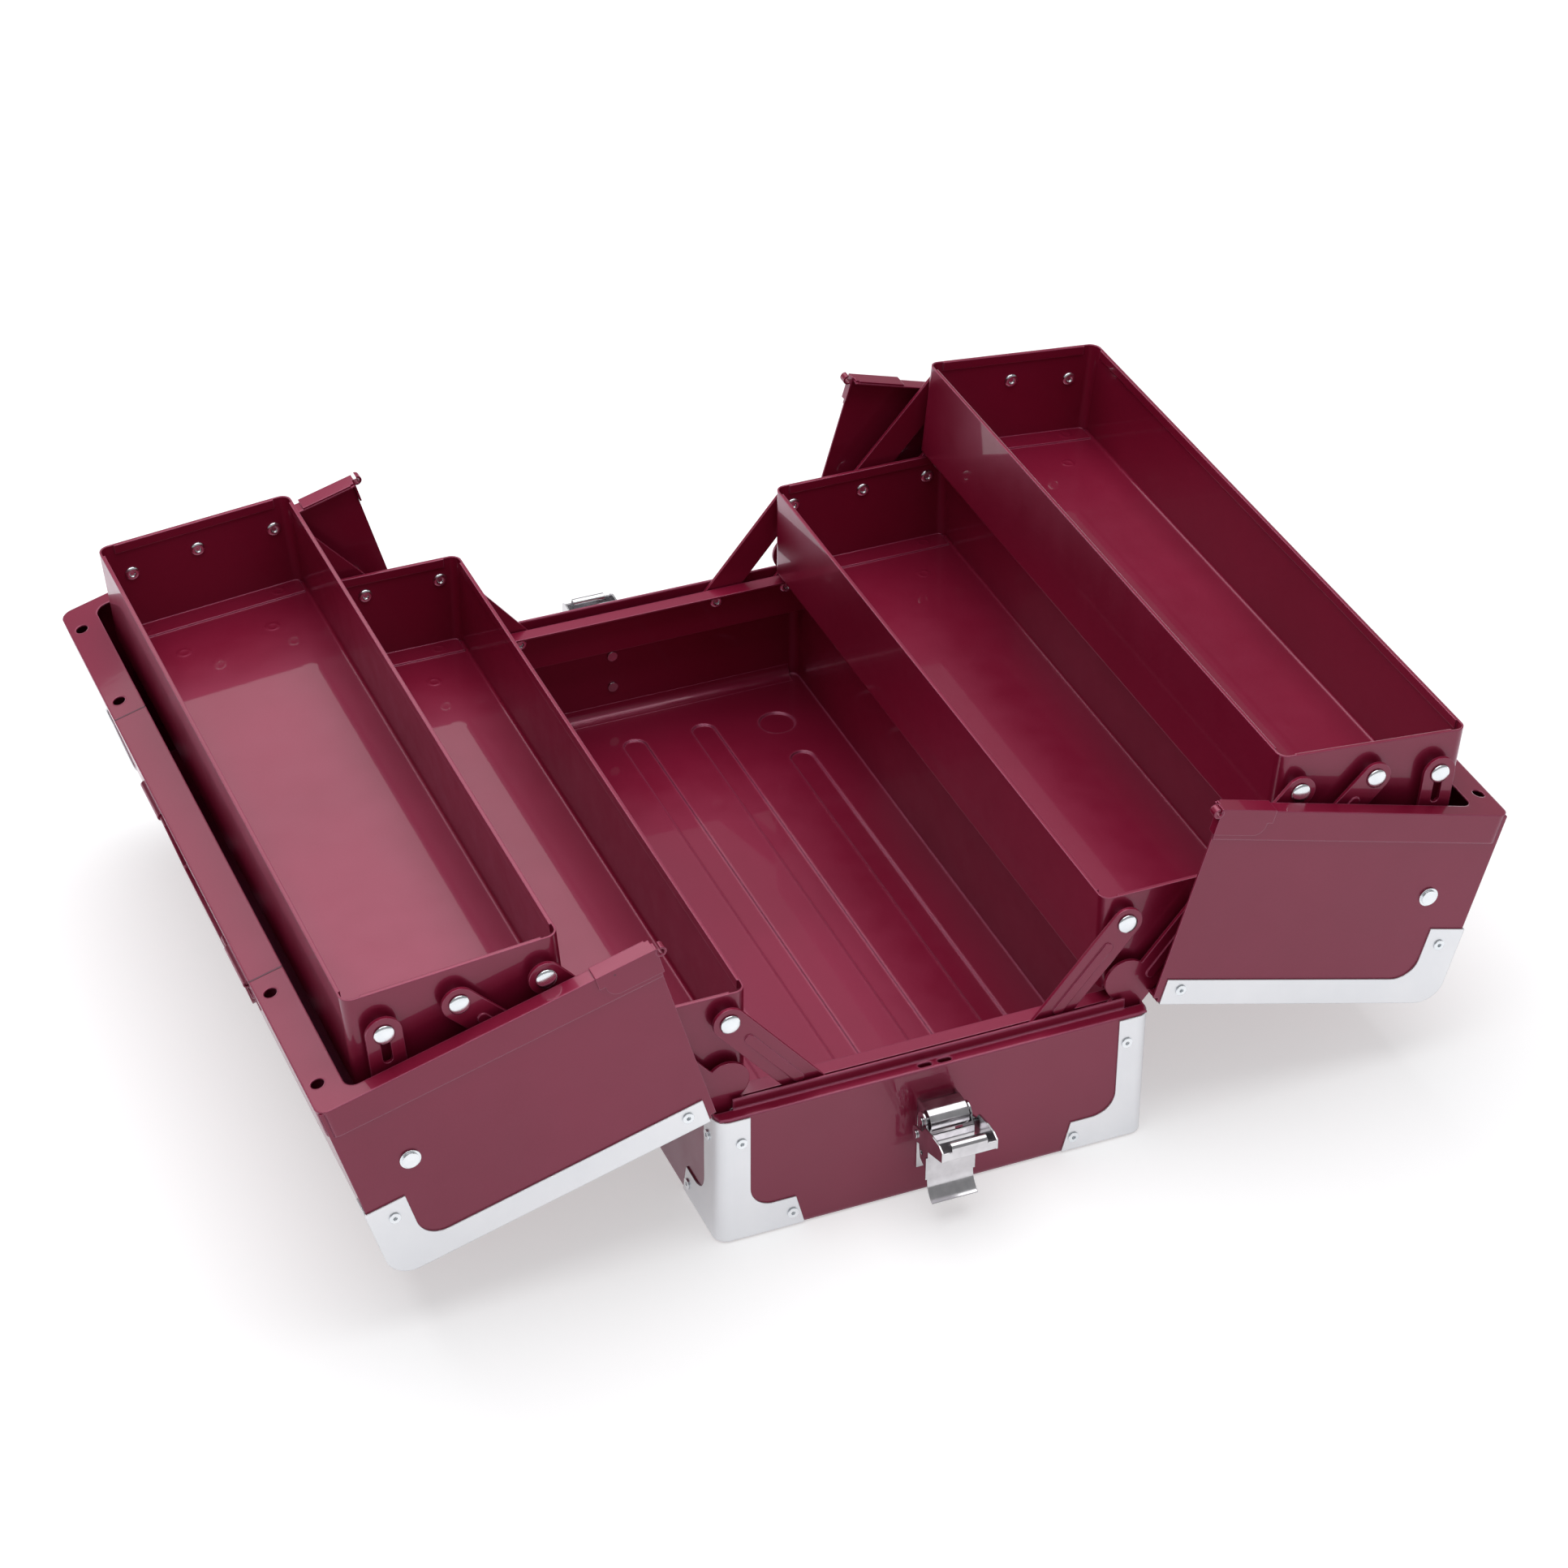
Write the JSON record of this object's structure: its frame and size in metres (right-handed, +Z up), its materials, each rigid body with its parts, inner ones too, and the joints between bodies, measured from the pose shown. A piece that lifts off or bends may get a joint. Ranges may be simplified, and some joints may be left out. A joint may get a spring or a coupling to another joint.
{
  "type": "cantilever tool box",
  "caption": "Open cantilever tool box in painted sheet steel: base case, hinged lids, riveted levers carrying stepped trays, corner trims, draw latches and fold-down handles.",
  "frame": {"origin": "centre of the base case's footprint, on the level that its pressed floor ribs stand on", "axes": "+Z up, +X across the box towards the right-hand lid as seen from the near end, +Y along the box away from the viewer"},
  "size_m": [0.596, 0.506, 0.1916],
  "materials": {
    "maroon_paint": "gloss",
    "aluminium_trim": "satin",
    "stainless": "polished",
    "bright_steel": "bright zinc"
  },
  "bodies": {
    "base": {"base_case": "maroon_paint", "lever_bracket_near": "maroon_paint", "lever_bracket_far": "maroon_paint", "base_pivot_rivets": "bright_steel", "hinge_wires": "bright_steel", "base_corner_trims": "aluminium_trim", "base_trim_rivets": "aluminium_trim", "latch_plate_near": "stainless", "latch_plate_far": "stainless", "latch_base_pins": "stainless"},
    "lid_left": {"lid_left": "maroon_paint", "seam_frame_left": "maroon_paint", "lid_catches_left": "maroon_paint", "lid_trims_left": "aluminium_trim", "lid_rivets_left": "aluminium_trim", "handle_brackets_left": "maroon_paint"},
    "handle_left": {"handle_left": "bright_steel"},
    "front_levers_left": {"front_lever_left_near": "maroon_paint", "front_lever_left_far": "maroon_paint"},
    "long_levers_left": {"long_lever_left_near": "maroon_paint", "long_lever_left_far": "maroon_paint"},
    "lower_tray_left": {"lower_tray_left": "maroon_paint", "lower_tray_rivets_left": "bright_steel"},
    "upper_tray_left": {"upper_tray_left": "maroon_paint", "upper_tray_rivets_left": "bright_steel"},
    "upper_levers_left": {"upper_lever_left_near": "maroon_paint", "upper_lever_left_far": "maroon_paint"},
    "lid_links_left": {"lid_link_left_near": "maroon_paint", "lid_link_left_far": "maroon_paint"},
    "lid_right": {"lid_right": "maroon_paint", "seam_frame_right": "maroon_paint", "lid_catches_right": "maroon_paint", "lid_trims_right": "aluminium_trim", "lid_rivets_right": "aluminium_trim", "handle_brackets_right": "maroon_paint"},
    "handle_right": {"handle_right": "bright_steel"},
    "front_levers_right": {"front_lever_right_near": "maroon_paint", "front_lever_right_far": "maroon_paint"},
    "long_levers_right": {"long_lever_right_near": "maroon_paint", "long_lever_right_far": "maroon_paint"},
    "lower_tray_right": {"lower_tray_right": "maroon_paint", "lower_tray_rivets_right": "bright_steel"},
    "upper_tray_right": {"upper_tray_right": "maroon_paint", "upper_tray_rivets_right": "bright_steel"},
    "upper_levers_right": {"upper_lever_right_near": "maroon_paint", "upper_lever_right_far": "maroon_paint"},
    "lid_links_right": {"lid_link_right_near": "maroon_paint", "lid_link_right_far": "maroon_paint"},
    "latch_lever_near": {"latch_lever_near": "stainless"},
    "latch_claw_near": {"latch_claw_near": "stainless", "latch_pins_near": "stainless"},
    "latch_lever_far": {"latch_lever_far": "stainless"},
    "latch_claw_far": {"latch_claw_far": "stainless", "latch_pins_far": "stainless"}
  },
  "joints": [
    {"name": "lid_left_hinge", "type": "hinge", "parent": "base", "child": "lid_left", "pos_m": [-0.1105, 0, 0.0786], "axis": [0, 1, 0], "range_deg": [0, 76]},
    {"name": "front_levers_left_pivot", "type": "hinge", "parent": "base", "child": "front_levers_left", "pos_m": [-0.05648, 0, 0.069], "axis": [0, 1, 0], "range_deg": [0, 79.6]},
    {"name": "long_levers_left_pivot", "type": "hinge", "parent": "base", "child": "long_levers_left", "pos_m": [-0.0974, 0, 0.069], "axis": [0, 1, 0], "range_deg": [0, 79.6]},
    {"name": "lower_tray_left_pivot", "type": "hinge", "parent": "front_levers_left", "child": "lower_tray_left", "pos_m": [-0.10027, 0, 0.12155], "axis": [0, 1, 0], "range_deg": [-79.6, 0]},
    {"name": "upper_tray_left_pivot", "type": "hinge", "parent": "long_levers_left", "child": "upper_tray_left", "pos_m": [-0.18737, 0, 0.17321], "axis": [0, 1, 0], "range_deg": [-74.33, 0]},
    {"name": "upper_levers_left_pivot", "type": "hinge", "parent": "lower_tray_left", "child": "upper_levers_left", "pos_m": [-0.17918, 0, 0.12155], "axis": [0, 1, 0], "range_deg": [0, 80.15]},
    {"name": "lid_links_left_pivot", "type": "hinge", "parent": "upper_tray_left", "child": "lid_links_left", "pos_m": [-0.26268, 0, 0.16436], "axis": [0, 1, 0], "range_deg": [0, 143.31]},
    {"name": "handle_left_pivot", "type": "hinge", "parent": "lid_left", "child": "handle_left", "pos_m": [-0.29194, 0, 0.11516], "axis": [0, 1, 0], "range_deg": [0, 100]},
    {"name": "lid_right_hinge", "type": "hinge", "parent": "base", "child": "lid_right", "pos_m": [0.1105, 0, 0.0786], "axis": [0, -1, 0], "range_deg": [0, 76]},
    {"name": "front_levers_right_pivot", "type": "hinge", "parent": "base", "child": "front_levers_right", "pos_m": [0.05648, 0, 0.069], "axis": [0, -1, 0], "range_deg": [0, 79.6]},
    {"name": "long_levers_right_pivot", "type": "hinge", "parent": "base", "child": "long_levers_right", "pos_m": [0.0974, 0, 0.069], "axis": [0, -1, 0], "range_deg": [0, 79.6]},
    {"name": "lower_tray_right_pivot", "type": "hinge", "parent": "front_levers_right", "child": "lower_tray_right", "pos_m": [0.10027, 0, 0.12155], "axis": [0, -1, 0], "range_deg": [-79.6, 0]},
    {"name": "upper_tray_right_pivot", "type": "hinge", "parent": "long_levers_right", "child": "upper_tray_right", "pos_m": [0.18737, 0, 0.17321], "axis": [0, -1, 0], "range_deg": [-74.33, 0]},
    {"name": "upper_levers_right_pivot", "type": "hinge", "parent": "lower_tray_right", "child": "upper_levers_right", "pos_m": [0.17918, 0, 0.12155], "axis": [0, -1, 0], "range_deg": [0, 80.15]},
    {"name": "lid_links_right_pivot", "type": "hinge", "parent": "upper_tray_right", "child": "lid_links_right", "pos_m": [0.26268, 0, 0.16436], "axis": [0, -1, 0], "range_deg": [0, 143.31]},
    {"name": "handle_right_pivot", "type": "hinge", "parent": "lid_right", "child": "handle_right", "pos_m": [0.29194, 0, 0.11516], "axis": [0, -1, 0], "range_deg": [0, 100]},
    {"name": "latch_lever_near_pivot", "type": "hinge", "parent": "base", "child": "latch_lever_near", "pos_m": [0, -0.225, 0.0515], "axis": [-1, 0, 0], "range_deg": [0, 45]},
    {"name": "latch_claw_near_pivot", "type": "hinge", "parent": "latch_lever_near", "child": "latch_claw_near", "pos_m": [0, -0.224, 0.044], "axis": [-1, 0, 0], "range_deg": [0, 45]},
    {"name": "latch_lever_far_pivot", "type": "hinge", "parent": "base", "child": "latch_lever_far", "pos_m": [0, 0.225, 0.0515], "axis": [1, 0, 0], "range_deg": [0, 45]},
    {"name": "latch_claw_far_pivot", "type": "hinge", "parent": "latch_lever_far", "child": "latch_claw_far", "pos_m": [0, 0.224, 0.044], "axis": [1, 0, 0], "range_deg": [0, 45]}
  ],
  "couplings": [
    {"joint": "front_levers_left_pivot", "follows": "lid_left_hinge", "ratio": 1.0474},
    {"joint": "long_levers_left_pivot", "follows": "lid_left_hinge", "ratio": 1.0474},
    {"joint": "lower_tray_left_pivot", "follows": "lid_left_hinge", "ratio": -1.0474},
    {"joint": "upper_tray_left_pivot", "follows": "lid_left_hinge", "ratio": -0.97803},
    {"joint": "upper_levers_left_pivot", "follows": "lid_left_hinge", "ratio": 1.0545},
    {"joint": "lid_links_left_pivot", "follows": "lid_left_hinge", "ratio": 1.8856},
    {"joint": "front_levers_right_pivot", "follows": "lid_right_hinge", "ratio": 1.0474},
    {"joint": "long_levers_right_pivot", "follows": "lid_right_hinge", "ratio": 1.0474},
    {"joint": "lower_tray_right_pivot", "follows": "lid_right_hinge", "ratio": -1.0474},
    {"joint": "upper_tray_right_pivot", "follows": "lid_right_hinge", "ratio": -0.97803},
    {"joint": "upper_levers_right_pivot", "follows": "lid_right_hinge", "ratio": 1.0545},
    {"joint": "lid_links_right_pivot", "follows": "lid_right_hinge", "ratio": 1.8856}
  ]
}
